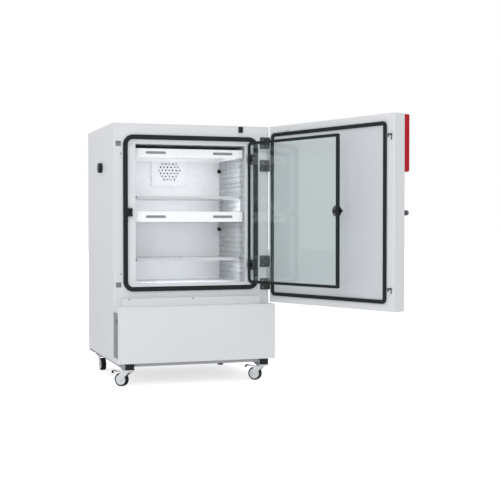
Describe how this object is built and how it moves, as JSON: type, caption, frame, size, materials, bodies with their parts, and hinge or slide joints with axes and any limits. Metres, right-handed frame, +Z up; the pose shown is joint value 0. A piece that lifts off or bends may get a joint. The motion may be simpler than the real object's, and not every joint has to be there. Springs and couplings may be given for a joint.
{
  "type": "plant growth chamber",
  "caption": "Floor-standing plant growth chamber on casters, with a lit white chamber, shelves, light cassettes, a glass inner door and an insulated outer door with controller, both open.",
  "frame": {"origin": "on the floor, under the middle of the closed cabinet", "axes": "+X to the right seen from the front, +Y to the back, +Z up"},
  "size_m": [1.4013, 1.6614, 1.46],
  "materials": {
    "white_paint": "satin",
    "grey_paint": "satin",
    "door_liner": "satin",
    "chamber_white": "satin",
    "foam": "matte",
    "black_rubber": "matte",
    "wheel_rubber": "matte",
    "black_plastic": "satin",
    "grey_plastic": "satin",
    "fascia_grey": "satin",
    "red_plastic": "gloss",
    "display_glass": "polished",
    "clear_glass": "polished",
    "lamp_glass": "polished",
    "steel": "satin",
    "black_steel": "satin",
    "aluminium": "satin"
  },
  "bodies": {
    "cabinet": {"outer_housing": "white_paint", "back_panel": "white_paint", "cabinet_insulation": "foam", "front_frame": "white_paint", "chamber_liner": "chamber_white", "chamber_gasket": "black_rubber", "side_air_panels": "chamber_white", "rear_air_panel": "chamber_white", "fan_cover": "chamber_white", "chamber_fan_motor": "steel", "evaporator": "aluminium", "lamp_sockets": "black_plastic", "glass_door_keeper": "black_plastic", "hook_receivers": "black_plastic", "hinge_blocks": "black_plastic", "pins_and_screws": "steel", "door_sensor": "black_plastic", "drip_channel": "white_paint", "port_sleeve": "black_plastic", "service_panel": "white_paint", "switch_fascia": "fascia_grey", "chassis_frame": "grey_paint", "chassis_caps": "black_plastic", "compressor": "black_steel", "condenser": "aluminium", "electronics_box": "grey_paint", "caster_plates": "steel"},
    "outer_door": {"door_pan": "white_paint", "door_inner_panel": "door_liner", "door_insulation": "foam", "door_gasket": "black_rubber", "controller_housing": "red_plastic", "controller_display": "display_glass", "door_hinge_arms": "grey_paint", "door_catch_plates": "steel"},
    "door_lock_rod": {"door_lock_rod": "black_steel"},
    "door_handle": {"door_handle": "grey_plastic"},
    "glass_door": {"glass_pane": "clear_glass", "glass_gasket": "black_rubber", "glass_hinge_clamps": "black_plastic"},
    "glass_knob": {"glass_knob": "black_plastic"},
    "chamber_fan": {"chamber_fan_impeller": "black_plastic"},
    "port_plug": {"port_plug": "black_plastic"},
    "main_switch": {"main_switch": "black_plastic"},
    "upper_shelf": {"upper_shelf": "chamber_white"},
    "lower_shelf": {"lower_shelf": "chamber_white"},
    "upper_light_cassette": {"upper_light_cassette": "chamber_white", "upper_lamp_tubes": "lamp_glass"},
    "middle_light_cassette": {"middle_light_cassette": "chamber_white", "middle_lamp_tubes": "lamp_glass"},
    "fork_front_left": {"caster_fork_front_left": "steel"},
    "wheel_front_left": {"caster_wheel_front_left": "wheel_rubber"},
    "fork_front_right": {"caster_fork_front_right": "steel"},
    "wheel_front_right": {"caster_wheel_front_right": "wheel_rubber"},
    "fork_rear_left": {"caster_fork_rear_left": "steel"},
    "wheel_rear_left": {"caster_wheel_rear_left": "wheel_rubber"},
    "fork_rear_right": {"caster_fork_rear_right": "steel"},
    "wheel_rear_right": {"caster_wheel_rear_right": "wheel_rubber"},
    "pedal_front_left": {"brake_pedal_front_left": "steel"},
    "pedal_front_right": {"brake_pedal_front_right": "steel"}
  },
  "joints": [
    {"name": "outer_door_hinge", "type": "hinge", "parent": "cabinet", "child": "outer_door", "pos_m": [0.4575, -0.31, 0.9525], "axis": [0, 0, 1], "range_deg": [-111.46, 3.5]},
    {"name": "glass_door_hinge", "type": "hinge", "parent": "cabinet", "child": "glass_door", "pos_m": [0.34545, -0.306, 0.9525], "axis": [0, 0, 1], "range_deg": [-112.01, 3.6]},
    {"name": "door_handle_turn", "type": "hinge", "parent": "outer_door", "child": "door_handle", "pos_m": [0.85878, -1.08492, 0.9525], "axis": [0.9307, 0.3658, 0], "range_deg": [0, 90]},
    {"name": "lock_rod_slide", "type": "slide", "parent": "outer_door", "child": "door_lock_rod", "axis": [0, 0, -1], "range_m": [0, 0.0122]},
    {"name": "glass_knob_turn", "type": "hinge", "parent": "glass_door", "child": "glass_knob", "pos_m": [0.5875, -0.92645, 0.964], "axis": [0.9272, 0.3746, 0], "range_deg": [0, 90]},
    {"name": "chamber_fan_spin", "type": "hinge", "parent": "cabinet", "child": "chamber_fan", "pos_m": [-0.006, 0.194, 1.228], "axis": [0, 1, 0], "continuous": true},
    {"name": "port_plug_pull", "type": "slide", "parent": "cabinet", "child": "port_plug", "axis": [-1, 0, 0], "range_m": [0, 0.07]},
    {"name": "main_switch_rock", "type": "hinge", "parent": "cabinet", "child": "main_switch", "pos_m": [-0.4595, -0.387, 0.3625], "axis": [0, -1, 0], "range_deg": [0, 16]},
    {"name": "upper_shelf_slide", "type": "slide", "parent": "cabinet", "child": "upper_shelf", "axis": [0, -1, 0], "range_m": [0, 0.4]},
    {"name": "lower_shelf_slide", "type": "slide", "parent": "cabinet", "child": "lower_shelf", "axis": [0, -1, 0], "range_m": [0, 0.4]},
    {"name": "upper_cassette_slide", "type": "slide", "parent": "cabinet", "child": "upper_light_cassette", "axis": [0, -1, 0], "range_m": [0, 0.4]},
    {"name": "middle_cassette_slide", "type": "slide", "parent": "cabinet", "child": "middle_light_cassette", "axis": [0, -1, 0], "range_m": [0, 0.4]},
    {"name": "swivel_front_left", "type": "hinge", "parent": "cabinet", "child": "fork_front_left", "pos_m": [-0.3945, -0.358, 0.095], "axis": [0, 0, 1], "continuous": true},
    {"name": "roll_front_left", "type": "hinge", "parent": "fork_front_left", "child": "wheel_front_left", "pos_m": [-0.42469, -0.33176, 0.0375], "axis": [-0.6561, -0.7547, 0], "continuous": true},
    {"name": "brake_front_left", "type": "hinge", "parent": "fork_front_left", "child": "pedal_front_left", "pos_m": [-0.42091, -0.33504, 0.08], "axis": [-0.6561, -0.7547, 0], "range_deg": [0, 8]},
    {"name": "swivel_front_right", "type": "hinge", "parent": "cabinet", "child": "fork_front_right", "pos_m": [0.3945, -0.358, 0.095], "axis": [0, 0, 1], "continuous": true},
    {"name": "roll_front_right", "type": "hinge", "parent": "fork_front_right", "child": "wheel_front_right", "pos_m": [0.36431, -0.33176, 0.0375], "axis": [-0.6561, -0.7547, 0], "continuous": true},
    {"name": "brake_front_right", "type": "hinge", "parent": "fork_front_right", "child": "pedal_front_right", "pos_m": [0.36808, -0.33504, 0.08], "axis": [-0.6561, -0.7547, 0], "range_deg": [0, 8]},
    {"name": "swivel_rear_left", "type": "hinge", "parent": "cabinet", "child": "fork_rear_left", "pos_m": [-0.3945, 0.35, 0.095], "axis": [0, 0, 1], "continuous": true},
    {"name": "roll_rear_left", "type": "hinge", "parent": "fork_rear_left", "child": "wheel_rear_left", "pos_m": [-0.3945, 0.31, 0.0375], "axis": [1, 0, 0], "continuous": true},
    {"name": "swivel_rear_right", "type": "hinge", "parent": "cabinet", "child": "fork_rear_right", "pos_m": [0.3945, 0.35, 0.095], "axis": [0, 0, 1], "continuous": true},
    {"name": "roll_rear_right", "type": "hinge", "parent": "fork_rear_right", "child": "wheel_rear_right", "pos_m": [0.3745, 0.31536, 0.0375], "axis": [0.866, -0.5, 0], "continuous": true}
  ],
  "couplings": [
    {"joint": "glass_door_hinge", "follows": "outer_door_hinge", "ratio": 1.0049},
    {"joint": "lock_rod_slide", "follows": "door_handle_turn", "m_per_rad": 0.0076394}
  ]
}
